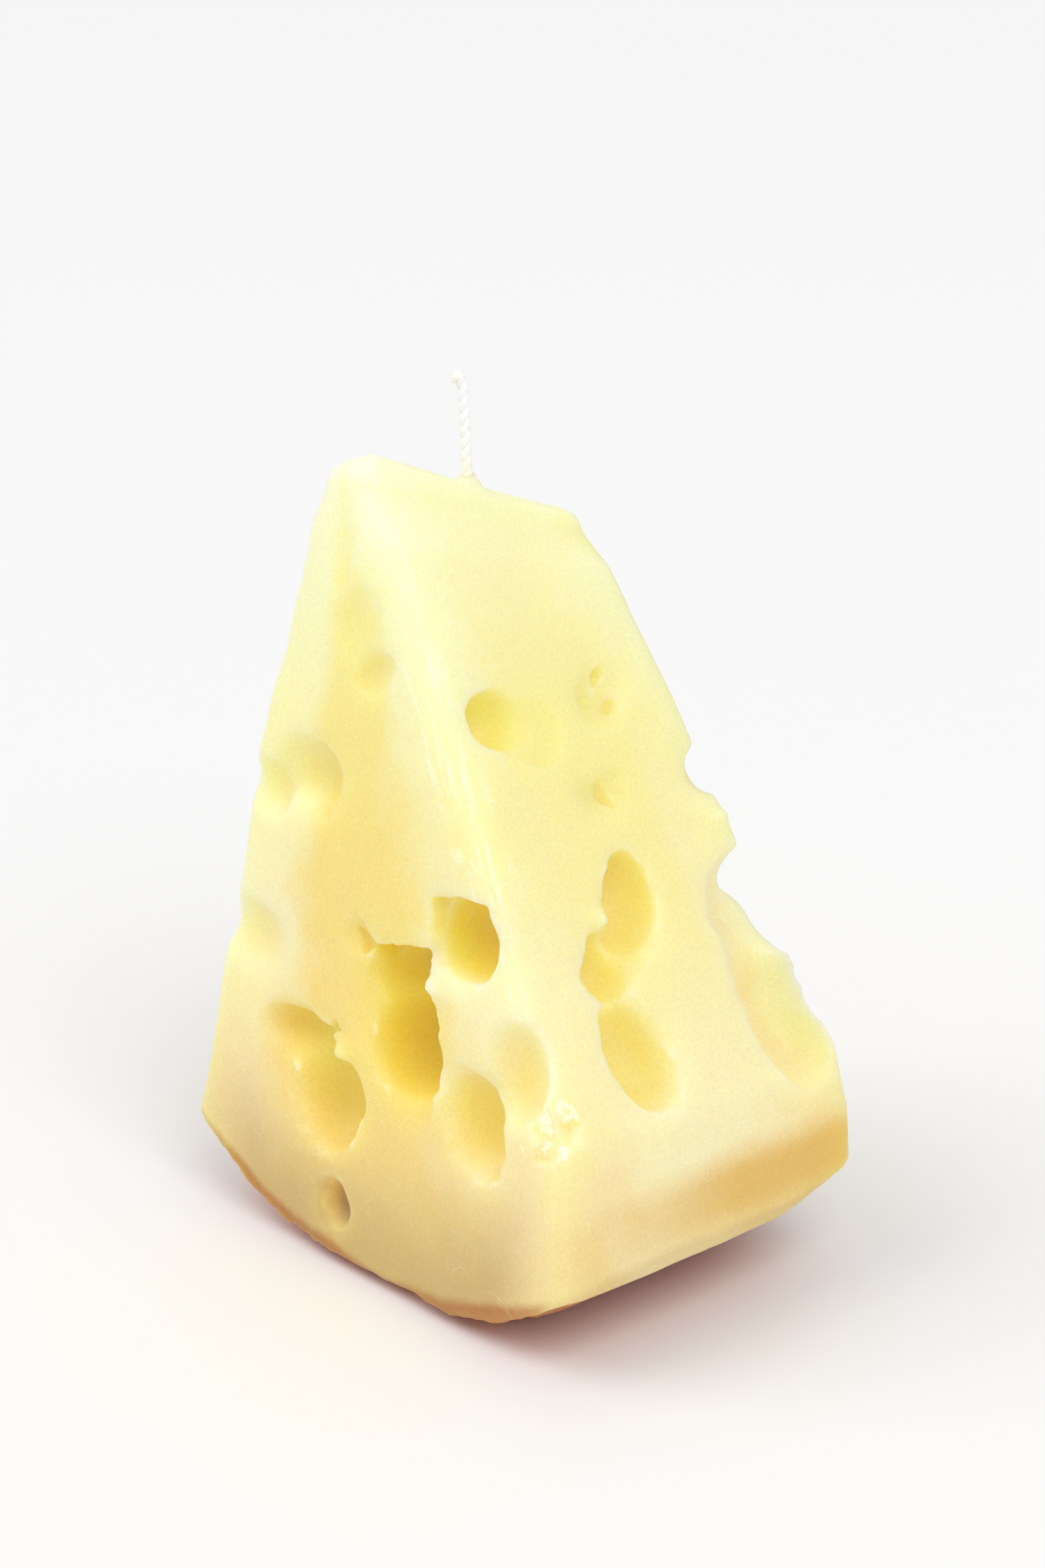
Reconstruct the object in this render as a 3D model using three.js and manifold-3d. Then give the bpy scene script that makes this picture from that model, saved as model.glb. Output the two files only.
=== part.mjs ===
// A candle cast in the shape of a wedge of holey cheese, standing on its curved rind with the wedge's tip up.
// Millimetres, +Z up. The wheel's two flat faces look along -Y (front) and +Y (back), its two cut faces along
// +X (right) and -X (left). The origin is on the table, under the middle of the candle's bounding box.
import * as THREE from "three";
import { mergeVertices } from "three/addons/utils/BufferGeometryUtils.js";
import Module from "manifold-3d";

// ---- Driving dimensions ----

const heel = {
  halfLength: 39.2, // along X, across the curved rind
  halfThickness: 28, // along Y, half the thickness of the wheel
  cornerRise: 11, // how far the rind's two ends stand above the table
  arcPower: 2.1, // how sharply the rind turns up towards its ends
  backRise: 5, // how far the wheel's rounded back edge lifts the rind
  backRound: 13, // length of that rounding, along Y
  frontRise: 1.5,
  frontRound: 8,
  footHalf: 12.5, // half length of the flat that the candle stands on
  edgeRound: 1.0,
};

// The four ridges where the faces meet, anticlockwise as seen from above: front right, back right, back left
// and front left. Each station is a share of the way from the rind (0) to the tip (1), with the ridge's X and
// Y there. The right-hand ridges turn from upright to sloping at their second station.
const ridges = [
  {
    round: 4.2,
    stations: [
      [0, 39.2, -28],
      [0.215, 37.4, -26.2],
      [1, -8.2, -19.6],
    ],
  },
  {
    round: 2.4,
    stations: [
      [0, 39.2, 28],
      [0.19, 38.4, 27],
      [0.5, 20.4, 24.4],
      [1, -7.8, 19.7],
    ],
  },
  {
    round: 3.4,
    stations: [
      [0, -39.2, 28],
      [0.45, -31, 25.2],
      [1, -17.4, 19.8],
    ],
  },
  {
    round: 2.2,
    stations: [
      [0, -39.6, -28.2],
      [0.4, -32, -25],
      [0.68, -26.3, -22.6],
      [1, -17.8, -20],
    ],
  },
];

const tip = {
  frontHeight: 115.9,
  backHeight: 101.2,
  tiltAcross: 0.7, // the tip is this much higher on its right than in its middle
  round: 3.8,
};
const waviness = { depth: 0.5, length: 26, evenAt: 8 }; // the unevenness of the sides, which fades inwards

const fineness = { arcSteps: 3, stepsAlongX: 8, stepsAlongY: 4, levels: 10, roundSteps: 4, capRings: 4 };

const wick = {
  radius: 0.75,
  sides: 10,
  steps: 20,
  foot: [-11.6, 0.6], // X and Y where it leaves the wax
  depth: 6, // length inside the wax
  clearance: 0.3,
  curlTowards: 228, // the direction its end bends in, in degrees from +X
  rise: [
    // distance along that direction and height above the wax
    [0.25, 5],
    [0.45, 9.5],
    [0.85, 13.6],
    [1.6, 14.9],
  ],
  knob: 1.0,
};

// Holes in the faces. across is X on the front and back and Y on the right and left, and up is the height.
// size is the half width, half height and half depth of the lumpy ball that is cut out, and sunk is how far
// below the face its middle lies, negative for a shallow dish. lean turns it in its face, in degrees,
// anticlockwise as seen from outside.
const holes = {
  front: [
    { across: -12.7, up: 106, size: [6, 9, 4], sunk: -2.8 },
    { across: -8.5, up: 96, size: [8, 7, 4], sunk: -3.1 },
    { across: -4.9, up: 88.8, size: [5.6, 3.2, 3.2], sunk: -1.7, lean: 30 },
    { across: -17.8, up: 70.6, size: [7.2, 5.8, 5.2], sunk: -1.3 },
    { across: -25.6, up: 66.5, size: [4.8, 4.8, 4.2], sunk: -1 },
    { across: -28.5, up: 43.5, size: [8, 6, 4.6], sunk: -2.1 },
    { across: 15.2, up: 56.3, size: [6.7, 6, 8], sunk: 1.8 },
    { across: -5.5, up: 50.1, size: [2.8, 1.9, 2.4], sunk: 0 },
    { across: 3, up: 46.4, size: [6.8, 5.4, 9.2], sunk: 2.8, lean: 14 },
    { across: 4.8, up: 37, size: [7.9, 7.6, 10.4], sunk: 3 },
    { across: -17.4, up: 31.6, size: [8.2, 4.3, 5.6], sunk: 0.4 },
    { across: -11.4, up: 24.8, size: [7.6, 8.2, 7], sunk: 0.8 },
    { across: -8.7, up: 8.9, size: [3.3, 3.8, 4.2], sunk: 0.6 },
    { across: 28.2, up: 42.4, size: [5.6, 7.4, 4.6], sunk: -2.4, lean: 8 },
    { across: 19.4, up: 31.4, size: [6.2, 8, 6], sunk: -0.6, lean: 14 },
    { across: 34.6, up: 34.8, size: [3.4, 4.4, 2.6], sunk: -1.3 },
  ],
  right: [
    { across: -12, up: 83.1, size: [5, 4.3, 6.2], sunk: 1.2, lean: -16 },
    { across: -7.6, up: 81.2, size: [6.4, 5.4, 4], sunk: -2 },
    { across: 8.4, up: 83, size: [4, 3.8, 2.8], sunk: -1.9 },
    { across: 6.2, up: 82.6, size: [2, 1.7, 1.8], sunk: -0.5 },
    { across: 2.6, up: 70.8, size: [5.4, 2.5, 2.6], sunk: -0.6, lean: -8 },
    { across: 0.4, up: 57.6, size: [4.7, 7.4, 7.2], sunk: 1.4, lean: -20 },
    { across: -7.3, up: 51.8, size: [4.3, 5.2, 7], sunk: 1.4, lean: -20 },
    { across: -7.4, up: 40.8, size: [5.2, 8.8, 6.6], sunk: 0.9, lean: 12 },
    { across: 19.8, up: 39.4, size: [6.4, 12, 7], sunk: 0.6, lean: 6 },
    { across: 22.6, up: 52, size: [9.4, 8.2, 6.4], sunk: -0.4, lean: 10 },
    { across: 22.8, up: 68.2, size: [3.8, 3.6, 3.6], sunk: 0 },
  ],
  back: [
    { across: -9, up: 84, size: [6, 5.2, 6], sunk: 1.2, lean: 20 },
    { across: 5, up: 72, size: [4, 3.6, 4], sunk: 0.4 },
    { across: -17, up: 62, size: [6.2, 8.8, 8], sunk: 1.4, lean: -14 },
    { across: 1.5, up: 52, size: [8.6, 5.6, 9], sunk: 3 },
    { across: 6.5, up: 42, size: [7, 7.6, 9.4], sunk: 2.6 },
    { across: -23.5, up: 37, size: [7, 6, 6.4], sunk: 0.8 },
    { across: 23, up: 31, size: [7.4, 8, 5.6], sunk: -1 },
    { across: -9, up: 25.5, size: [6.4, 7.8, 7], sunk: 1 },
    { across: -1.5, up: 65.5, size: [2.6, 2.2, 2.4], sunk: 0 },
    { across: 9, up: 19, size: [3.2, 3.6, 3.6], sunk: 0.4 },
  ],
  left: [
    { across: 6, up: 91, size: [4.6, 3.8, 5], sunk: 0.8 },
    { across: -7, up: 76, size: [5.2, 7.2, 7], sunk: 1.4, lean: 16 },
    { across: 10, up: 66, size: [3.4, 3, 3.6], sunk: 0.4 },
    { across: 4, up: 53, size: [7.2, 5.4, 8], sunk: 2 },
    { across: -11.5, up: 47, size: [4, 7.4, 6.6], sunk: 1 },
    { across: 7.5, up: 43.5, size: [5.4, 7.4, 8.6], sunk: 2 },
    { across: -4.5, up: 28.5, size: [7.6, 6, 7], sunk: 1, lean: -12 },
    { across: 15.5, up: 26, size: [5, 6.6, 5], sunk: 0 },
    { across: 4.5, up: 101, size: [5.6, 6, 3.4], sunk: -2.2 },
  ],
};
const hollowLumps = 0.06; // how lumpy the holes are, as a share of their size

// ---- Geometry helpers ----

const lerp = THREE.MathUtils.lerp;
const wasm = await Module();
wasm.setup();

function solidOf(geometry) {
  const bare = geometry.clone();
  for (const name of ["normal", "uv"]) bare.deleteAttribute(name);
  const merged = mergeVertices(bare, 1e-4);
  return new wasm.Manifold(
    new wasm.Mesh({
      numProp: 3,
      vertProperties: new Float32Array(merged.attributes.position.array),
      triVerts: new Uint32Array(merged.index.array),
    }),
  );
}

function geometryOf(solid) {
  const made = solid.getMesh();
  const points = new Float32Array(made.numVert * 3);
  for (let i = 0; i < made.numVert; i++) {
    points.set(made.vertProperties.subarray(i * made.numProp, i * made.numProp + 3), i * 3);
  }
  const geometry = new THREE.BufferGeometry();
  geometry.setAttribute("position", new THREE.BufferAttribute(points, 3));
  geometry.setIndex(new THREE.BufferAttribute(made.triVerts, 1));
  geometry.computeVertexNormals();
  return geometry;
}

// ---- The wedge ----

// Height of the rind's underside. u and v run from -1 to 1 across the length and the thickness.
function undersideHeight(u, v) {
  const past = Math.max(0, Math.abs(u) * heel.halfLength - heel.footHalf);
  const alongArc = heel.cornerRise * (past / (heel.halfLength - heel.footHalf)) ** heel.arcPower;
  const pastBack = Math.max(0, v * heel.halfThickness - (heel.halfThickness - heel.backRound));
  const pastFront = Math.max(0, -v * heel.halfThickness - (heel.halfThickness - heel.frontRound));
  const backLift = heel.backRise * (pastBack / heel.backRound) ** 2;
  return alongArc + backLift + heel.frontRise * (pastFront / heel.frontRound) ** 2;
}

function crownHeight(u, v) {
  const middle = (tip.frontHeight + tip.backHeight) / 2;
  return middle - (v * (tip.frontHeight - tip.backHeight)) / 2 + u * tip.tiltAcross;
}

function stationAt(ridge, share) {
  const next = Math.max(1, ridge.stations.findIndex((station) => station[0] >= share));
  const [from, to] = [ridge.stations[next - 1], ridge.stations[next]];
  const part = (share - from[0]) / (to[0] - from[0]);
  return new THREE.Vector2(lerp(from[1], to[1], part), lerp(from[2], to[2], part));
}

function waveAt(along, z) {
  const turn = (2 * Math.PI) / waviness.length;
  const rising = Math.sin(turn * (0.62 * z + 0.5 * along));
  const level = Math.sin(turn * (0.9 * along - 0.35 * z));
  return (waviness.depth / 2) * (rising + level);
}

function fadeInwards(part) {
  return Math.sign(part) * Math.abs(part) ** waviness.evenAt;
}

// One ring of points round the wedge: its four corners rounded, drawn in by inset and moved up by lift.
function ringAt(share, inset = 0, lift = 0, shrink = 1) {
  const corners = ridges.map((ridge) => stationAt(ridge, share));
  const centre = new THREE.Vector2();
  for (const corner of corners) centre.addScaledVector(corner, 0.25);
  for (const corner of corners) {
    corner.x -= Math.sign(corner.x - centre.x) * inset;
    corner.y -= Math.sign(corner.y - centre.y) * inset;
  }
  const halfX = (corners[0].x + corners[1].x - corners[2].x - corners[3].x) / 4;
  const halfY = (corners[1].y + corners[2].y - corners[0].y - corners[3].y) / 4;
  const outline = [];
  corners.forEach((corner, i) => {
    const round = Math.max(ridges[i].round - inset, 0.5);
    const back = corners[(i + 3) % 4].clone().sub(corner).setLength(round).add(corner);
    const ahead = corners[(i + 1) % 4].clone().sub(corner).setLength(round).add(corner);
    const bend = new THREE.QuadraticBezierCurve(back, corner, ahead);
    outline.push(...bend.getPoints(fineness.arcSteps));
    const next = corners[(i + 1) % 4];
    const nextRound = Math.max(ridges[(i + 1) % 4].round - inset, 0.5);
    const end = corner.clone().sub(next).setLength(nextRound).add(next);
    const side = new THREE.LineCurve(ahead, end);
    const steps = i % 2 === 0 ? fineness.stepsAlongY : fineness.stepsAlongX;
    outline.push(...side.getPoints(steps).slice(1, -1));
  });
  return outline.map((point) => {
    const across = point.clone().sub(centre).multiplyScalar(shrink);
    const u = across.x / halfX;
    const v = across.y / halfY;
    const z = lerp(undersideHeight(u, v), crownHeight(u, v), share) + lift;
    const place = across.add(centre);
    if (share > 0 && share < 1) {
      place.x += fadeInwards(u) * waveAt(place.y, z);
      place.y += fadeInwards(v) * waveAt(place.x, z);
    }
    return new THREE.Vector3(place.x, place.y, z);
  });
}

function wedgeRings() {
  const rings = [];
  const foot = (heel.footHalf - 0.5) / heel.halfLength; // the innermost ring lies wholly on the flat
  for (let i = 0; i < fineness.capRings; i++) {
    rings.push(ringAt(0, heel.edgeRound, 0, lerp(foot, 1, i / (fineness.capRings - 1))));
  }
  for (let i = 1; i <= 2; i++) {
    const angle = (i * Math.PI) / 4;
    rings.push(ringAt(0, heel.edgeRound * (1 - Math.sin(angle)), heel.edgeRound * (1 - Math.cos(angle))));
  }
  const bend = ridges[0].stations[1][0];
  const shares = [bend / 2, bend];
  for (let i = 1; i < fineness.levels - 1; i++) shares.push(lerp(bend, 1, i / (fineness.levels - 1)));
  for (const share of shares) rings.push(ringAt(share));
  for (let i = 0; i <= fineness.roundSteps; i++) {
    const angle = (i * Math.PI) / 2 / fineness.roundSteps;
    rings.push(ringAt(1, tip.round * (1 - Math.cos(angle)), -tip.round * (1 - Math.sin(angle))));
  }
  return rings;
}

function centreOf(ring) {
  const centre = new THREE.Vector3();
  for (const point of ring) centre.addScaledVector(point, 1 / ring.length);
  return centre;
}

function makeWedge() {
  const rings = wedgeRings();
  const count = rings[0].length;
  const points = rings.flat();
  const faces = [];
  for (let r = 0; r + 1 < rings.length; r++) {
    for (let i = 0; i < count; i++) {
      const a = r * count + i;
      const b = r * count + ((i + 1) % count);
      faces.push(a, b, b + count, a, b + count, a + count);
    }
  }
  const bottom = points.push(centreOf(rings[0])) - 1;
  const top = points.push(centreOf(rings.at(-1))) - 1;
  const last = (rings.length - 1) * count;
  for (let i = 0; i < count; i++) {
    const j = (i + 1) % count;
    faces.push(bottom, j, i, top, last + i, last + j);
  }
  const geometry = new THREE.BufferGeometry().setFromPoints(points);
  geometry.setIndex(faces);
  return solidOf(geometry);
}

// ---- The holes ----

const farOff = 300;
const lookInward = {
  front: new THREE.Vector3(0, 1, 0),
  right: new THREE.Vector3(-1, 0, 0),
  back: new THREE.Vector3(0, -1, 0),
  left: new THREE.Vector3(1, 0, 0),
};

// The point on a face of the wedge that a level line of sight meets, and the face's outward direction there.
function pointOnFace(target, side, across, up) {
  const inward = lookInward[side];
  const alongX = side === "front" || side === "back";
  const start = alongX ? new THREE.Vector3(across, 0, up) : new THREE.Vector3(0, across, up);
  start.addScaledVector(inward, -farOff);
  const found = new THREE.Raycaster(start, inward).intersectObject(target)[0];
  return { place: found.point, outward: found.face.normal };
}

function lumpyBall(detail, seed) {
  const geometry = new THREE.IcosahedronGeometry(1, detail);
  const spots = geometry.attributes.position;
  const spot = new THREE.Vector3();
  for (let i = 0; i < spots.count; i++) {
    spot.fromBufferAttribute(spots, i);
    const wave = Math.sin(3.1 * spot.x + 1.7 * seed) + Math.sin(2.6 * spot.y - 2.3 * seed + 2 * spot.z);
    spot.multiplyScalar(1 + (hollowLumps * wave) / 2);
    spots.setXYZ(i, spot.x, spot.y, spot.z);
  }
  return geometry;
}

function makeHollow(target, side, hole, index) {
  const { place, outward } = pointOnFace(target, side, hole.across, hole.up);
  const [wide, tall, deep] = hole.size;
  const largest = Math.max(wide, tall);
  const detail = largest > 8 ? 3 : largest > 3.5 ? 2 : 1;
  const sideways = new THREE.Vector3(0, 0, 1).cross(outward).normalize();
  const upward = outward.clone().cross(sideways);
  const turn = new THREE.Matrix4().makeBasis(sideways, upward, outward);
  turn.multiply(new THREE.Matrix4().makeRotationZ(THREE.MathUtils.degToRad(hole.lean ?? 0)));
  turn.scale(new THREE.Vector3(wide, tall, deep));
  turn.setPosition(place.addScaledVector(outward, -hole.sunk));
  return solidOf(lumpyBall(detail, index).applyMatrix4(turn));
}

// ---- The wick and its socket ----

function makeWick(top) {
  const bearing = THREE.MathUtils.degToRad(wick.curlTowards);
  const route = [[0, -wick.depth], [0, 0], ...wick.rise];
  const path = route.map(([out, up]) => {
    const x = wick.foot[0] + out * Math.cos(bearing);
    const y = wick.foot[1] + out * Math.sin(bearing);
    return new THREE.Vector3(x, y, top + up);
  });
  const round = new THREE.Shape();
  for (let i = 0; i < wick.sides; i++) {
    const angle = (2 * Math.PI * i) / wick.sides;
    const [x, y] = [wick.radius * Math.cos(angle), wick.radius * Math.sin(angle)];
    if (i === 0) round.moveTo(x, y);
    else round.lineTo(x, y);
  }
  round.closePath();
  const cord = new THREE.ExtrudeGeometry(round, {
    steps: wick.steps,
    curveSegments: 1,
    extrudePath: new THREE.CatmullRomCurve3(path),
  });
  const knob = new THREE.IcosahedronGeometry(wick.knob, 2).translate(...path.at(-1));
  return solidOf(cord).add(solidOf(knob));
}

function makeSocket(top) {
  const radius = wick.radius + wick.clearance;
  const bottom = top - wick.depth - wick.clearance;
  const mouth = top + wick.depth;
  const socket = new THREE.CylinderGeometry(radius, radius, mouth - bottom, 16);
  socket.rotateX(Math.PI / 2);
  socket.translate(wick.foot[0], wick.foot[1], (mouth + bottom) / 2);
  return solidOf(socket);
}

// ---- Assembly ----

function named(name, solid, finish) {
  const piece = new THREE.Mesh(geometryOf(solid), new THREE.MeshStandardMaterial(finish));
  piece.name = name;
  return piece;
}

const plainWedge = makeWedge();
const target = new THREE.Mesh(geometryOf(plainWedge));
let wax = plainWedge;
for (const [side, list] of Object.entries(holes)) {
  list.forEach((hole, index) => {
    wax = wax.subtract(makeHollow(target, side, hole, index));
  });
}
const downward = new THREE.Raycaster(
  new THREE.Vector3(wick.foot[0], wick.foot[1], farOff),
  new THREE.Vector3(0, 0, -1),
);
const top = downward.intersectObject(target)[0].point.z;
wax = wax.subtract(makeSocket(top));

const candle = new THREE.Group();
candle.add(named("wax_wedge", wax, { color: 0xf5e29a, roughness: 0.45, metalness: 0 }));
candle.add(named("wick", makeWick(top), { color: 0xf7f5ec, roughness: 0.9, metalness: 0 }));

const box = new THREE.Box3().setFromObject(candle);
const middle = box.getCenter(new THREE.Vector3());
for (const piece of candle.children) piece.geometry.translate(-middle.x, -middle.y, -box.min.z);

export default candle;
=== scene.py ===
import math

import bpy
import numpy as np
from mathutils import Matrix, Vector
from mathutils.bvhtree import BVHTree


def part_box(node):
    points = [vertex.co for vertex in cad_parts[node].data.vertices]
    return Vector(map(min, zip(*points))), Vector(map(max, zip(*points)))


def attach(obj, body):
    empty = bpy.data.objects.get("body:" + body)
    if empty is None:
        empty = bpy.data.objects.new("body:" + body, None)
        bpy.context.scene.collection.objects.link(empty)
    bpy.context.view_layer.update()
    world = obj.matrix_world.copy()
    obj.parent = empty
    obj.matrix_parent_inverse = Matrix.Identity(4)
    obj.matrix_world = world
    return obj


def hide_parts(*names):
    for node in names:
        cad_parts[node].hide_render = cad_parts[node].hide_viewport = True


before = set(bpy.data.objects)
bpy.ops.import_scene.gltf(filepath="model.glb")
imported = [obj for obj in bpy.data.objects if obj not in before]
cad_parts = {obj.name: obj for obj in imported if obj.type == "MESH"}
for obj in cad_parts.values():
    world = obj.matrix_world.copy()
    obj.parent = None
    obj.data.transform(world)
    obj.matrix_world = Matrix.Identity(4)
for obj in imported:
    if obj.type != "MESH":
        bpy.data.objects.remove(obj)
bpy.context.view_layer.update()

mm = 0.001  # the script's sizes are in millimetres, and Blender's in metres
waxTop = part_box("wax_wedge")[1]


def deselectAll():
    if bpy.context.object and bpy.context.object.mode != "OBJECT":
        bpy.ops.object.mode_set(mode="OBJECT")
    bpy.ops.object.select_all(action="DESELECT")


def pick(piece):
    deselectAll()
    piece.select_set(True)
    bpy.context.view_layer.objects.active = piece


def metres(values):
    return Vector(v * mm for v in values)


def addModifier(piece, kind, **settings):
    pick(piece)
    modifier = piece.modifiers.new(kind.title(), kind)
    for key, value in settings.items():
        setattr(modifier, key, value)
    return modifier


def applyModifiers(piece):
    pick(piece)
    for modifier in list(piece.modifiers):
        bpy.ops.object.modifier_apply(modifier=modifier.name)


def settle(piece):  # the piece's place goes into its mesh
    pick(piece)
    bpy.ops.object.transform_apply(location=True, rotation=True, scale=True)


def joinInto(piece, others):
    pick(piece)
    for other in others:
        other.select_set(True)
    bpy.ops.object.join()


def paint(red, green, blue):  # a screen colour, 0 to 255, as the linear one that shaders take
    def linear(part):
        part /= 255
        return part / 12.92 if part <= 0.04045 else ((part + 0.055) / 1.055) ** 2.4
    return (linear(red), linear(green), linear(blue), 1)


cameraView = {
    "azimuth": 48.3,  # degrees
    "elevation": 21.9,
    "distance": 600,
    "target": (-5.4, 5.4, 65.0),
    "lens": 98.4,
}


def placeCamera():
    azimuth = math.radians(cameraView["azimuth"])
    elevation = math.radians(cameraView["elevation"])
    back = Vector((
        math.sin(azimuth) * math.cos(elevation),
        -math.cos(azimuth) * math.cos(elevation),
        math.sin(elevation),
    ))
    place = metres(cameraView["target"]) + back * cameraView["distance"] * mm
    bpy.ops.object.camera_add(location=place, rotation=(math.pi / 2 - elevation, 0, azimuth))
    camera = bpy.context.object
    camera.name = "camera"
    camera.data.lens = cameraView["lens"]
    camera.data.clip_start = 0.01
    camera.data.clip_end = 50
    bpy.context.scene.camera = camera


placeCamera()
print("camera placed")


def newMaterial(name):
    material = bpy.data.materials.new(name)
    material.use_nodes = True
    material.node_tree.nodes.clear()
    return material


def addNode(tree, kind, inputs=None, **settings):
    node = tree.nodes.new("ShaderNode" + kind)
    for key, value in settings.items():
        setattr(node, key, value)
    for key, value in (inputs or {}).items():
        socket = node.inputs[key]
        if isinstance(value, bpy.types.NodeSocket):
            tree.links.new(value, socket)
        else:
            socket.default_value = value
    return node


def mathNode(tree, operation, first, second=0.0, third=0.0):
    inputs = {0: first, 1: second}
    if operation == "MULTIPLY_ADD":
        inputs[2] = third
    return addNode(tree, "Math", inputs, operation=operation).outputs[0]


def product(tree, *values):
    result = values[0]
    for value in values[1:]:
        result = mathNode(tree, "MULTIPLY", result, value)
    return result


def rangeNode(tree, value, low, high, toLow=0.0, toHigh=1.0, smooth=True):
    kind = "SMOOTHSTEP" if smooth else "LINEAR"
    inputs = {"Value": value, "From Min": low, "From Max": high, "To Min": toLow, "To Max": toHigh}
    return addNode(tree, "MapRange", inputs, interpolation_type=kind).outputs["Result"]


def mixColour(tree, part, first, second, blend="MIX"):
    node = addNode(tree, "Mix", data_type="RGBA", blend_type=blend)
    for index, value in ((0, part), (6, first), (7, second)):
        if isinstance(value, bpy.types.NodeSocket):
            tree.links.new(value, node.inputs[index])
        else:
            node.inputs[index].default_value = value
    return node.outputs[2]


def rampNode(tree, value, stops):
    node = addNode(tree, "ValToRGB", {0: value})
    elements = node.color_ramp.elements
    while len(elements) < len(stops):
        elements.new(0.5)
    for element, (position, colour) in zip(elements, stops):
        element.position = position
        element.color = paint(*colour)
    return node.outputs[0]


def objectPlace(tree):
    return addNode(tree, "TexCoord").outputs["Object"]


def noiseOf(tree, size, detail=3.0, roughness=0.5, distortion=0.0):  # size in millimetres
    inputs = {"Scale": 1 / (size * mm), "Detail": detail, "Roughness": roughness, "Distortion": distortion}
    inputs["Vector"] = objectPlace(tree)
    return addNode(tree, "TexNoise", inputs).outputs["Fac"]


def makeGrainGroup():  # fine unevenness that the wax, the wick and the floor share
    tree = bpy.data.node_groups.new("fineGrain", "ShaderNodeTree")
    tree.interface.new_socket("Colour", in_out="INPUT", socket_type="NodeSocketColor")
    tree.interface.new_socket("Fineness", in_out="INPUT", socket_type="NodeSocketFloat")
    tree.interface.new_socket("Contrast", in_out="INPUT", socket_type="NodeSocketFloat")
    tree.interface.new_socket("Colour", in_out="OUTPUT", socket_type="NodeSocketColor")
    tree.interface.new_socket("Height", in_out="OUTPUT", socket_type="NodeSocketFloat")
    source = tree.nodes.new("NodeGroupInput")
    result = tree.nodes.new("NodeGroupOutput")
    noise = addNode(tree, "TexNoise", {
        "Vector": objectPlace(tree), "Scale": source.outputs["Fineness"], "Detail": 2.0, "Roughness": 0.7,
    }).outputs["Fac"]
    change = mathNode(tree, "MULTIPLY", mathNode(tree, "SUBTRACT", noise, 0.5), source.outputs["Contrast"])
    light = mathNode(tree, "ADD", change, 1.0)
    tint = addNode(tree, "CombineColor", {0: light, 1: light, 2: light}).outputs[0]
    tinted = mixColour(tree, 1.0, source.outputs["Colour"], tint, "MULTIPLY")
    tree.links.new(tinted, result.inputs["Colour"])
    tree.links.new(noise, result.inputs["Height"])
    return tree


grainGroup = makeGrainGroup()


def grained(tree, colour, size, contrast):
    node = tree.nodes.new("ShaderNodeGroup")
    node.node_tree = grainGroup
    if isinstance(colour, bpy.types.NodeSocket):
        tree.links.new(colour, node.inputs["Colour"])
    else:
        node.inputs["Colour"].default_value = colour
    node.inputs["Fineness"].default_value = 1 / (size * mm)
    node.inputs["Contrast"].default_value = contrast
    return node.outputs["Colour"], node.outputs["Height"]


def finish(material, shader):
    tree = material.node_tree
    output = addNode(tree, "OutputMaterial")
    tree.links.new(shader.outputs[0], output.inputs[0])
    return material


studio = {
    "floorReach": 9000,
    "floorColour": (236, 236, 236),
    "skyHigh": 0.69,
    "skyLow": 0.30,  # strength at the horizon
    "lamps": {  # where it shines from, how soft in degrees, strength
        "left": ((-520, -560, 860), 42, 0.94),
        "right": ((800, -260, 960), 38, 1.15),
    },
}


def makeFloor():
    deselectAll()
    bpy.ops.mesh.primitive_circle_add(vertices=96, radius=studio["floorReach"] * mm / 2, fill_type="NGON")
    floor = bpy.context.object
    floor.name = "floor"
    material = newMaterial("paleFloor")
    tree = material.node_tree
    colour = grained(tree, paint(*studio["floorColour"]), 4, 0.006)[0]
    shader = addNode(tree, "BsdfPrincipled", {
        "Base Color": colour, "Roughness": 0.4, "Specular IOR Level": 0.3,
    })
    floor.data.materials.append(finish(material, shader))


def makeLight():
    world = bpy.data.worlds.new("studio")
    world.use_nodes = True
    tree = world.node_tree
    background = tree.nodes["Background"]
    background.inputs["Color"].default_value = (1, 1, 1, 1)
    upward = addNode(tree, "SeparateXYZ", {0: addNode(tree, "TexCoord").outputs["Generated"]}).outputs[2]
    brightness = rangeNode(tree, upward, 0.0, 0.35, studio["skyLow"], studio["skyHigh"])
    tree.links.new(brightness, background.inputs["Strength"])
    bpy.context.scene.world = world
    for name, (place, softness, strength) in studio["lamps"].items():
        turn = (-metres(place)).to_track_quat("-Z", "Y").to_euler()
        bpy.ops.object.light_add(type="SUN", location=metres(place), rotation=turn)
        lamp = bpy.context.object
        lamp.name = name + "Lamp"
        lamp.data.angle = math.radians(softness)
        lamp.data.energy = strength
    bpy.context.scene.view_settings.view_transform = "Standard"
    bpy.context.scene.view_settings.look = "None"


makeFloor()
makeLight()
print("floor and light ready")


waxShape = {
    "voxel": 0.4,  # fineness of the new skin
    "rounding": 150,  # passes that round the rims of the holes
    "edgeRounding": 40,  # passes that even the thin edge behind the long groove
    "warp": 2.6,  # how far the rims wander
    "warpSize": 4.0,
    "lump": 0.7,  # soft unevenness of the faces
    "lumpSize": 13,
    "ripple": 0.14,
    "rippleSize": 2.4,
    "lip": 1.8,  # raggedness of the lower edge
    "lipSize": 3.4,
    "scratch": 0.5,  # relief of the scuffed places
    "scratchSize": 1.3,
    "mostTriangles": 190000,
}
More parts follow.
